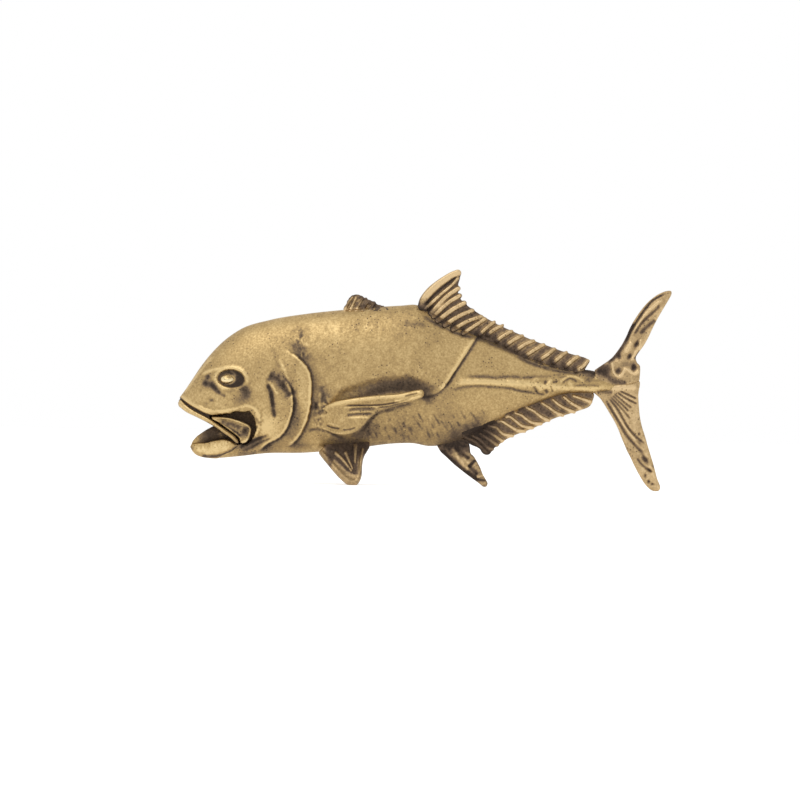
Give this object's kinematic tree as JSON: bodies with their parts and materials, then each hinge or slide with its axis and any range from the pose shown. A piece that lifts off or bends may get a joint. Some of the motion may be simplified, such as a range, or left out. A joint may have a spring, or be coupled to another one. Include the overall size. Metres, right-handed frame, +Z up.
{
  "type": "fish figurine",
  "caption": "Small cast brass figurine of a deep-bodied reef fish with its mouth open and a forked tail, standing on its lower fins.",
  "frame": {"origin": "on the ground plane, under the middle of the fish's bounding box", "axes": "+X along the fish from the snout to the tail, +Y across it towards its right side, +Z up"},
  "size_m": [0.082, 0.016, 0.0364],
  "materials": {
    "antique_brass": "sand cast, blackened and rubbed back, satin",
    "polished_brass": "rubbed bright, satin",
    "eye_brass": "rubbed bright bead in a blackened socket",
    "fin_brass": "cast rays rubbed bright, blackened between"
  },
  "bodies": {
    "root": {"trunk": "antique_brass", "lower_jaw": "polished_brass", "upper_lip": "polished_brass", "maxilla_left": "polished_brass", "maxilla_right": "polished_brass", "eye_left": "eye_brass", "eye_right": "eye_brass", "first_dorsal_fin": "fin_brass", "second_dorsal_fin": "fin_brass", "anal_fin": "fin_brass", "anal_lobe": "fin_brass", "tail_upper_lobe": "fin_brass", "tail_lower_lobe": "fin_brass", "pelvic_fin_left": "fin_brass", "pelvic_fin_right": "fin_brass", "pectoral_fin_left": "fin_brass", "pectoral_fin_right": "fin_brass"}
  },
  "joints": []
}
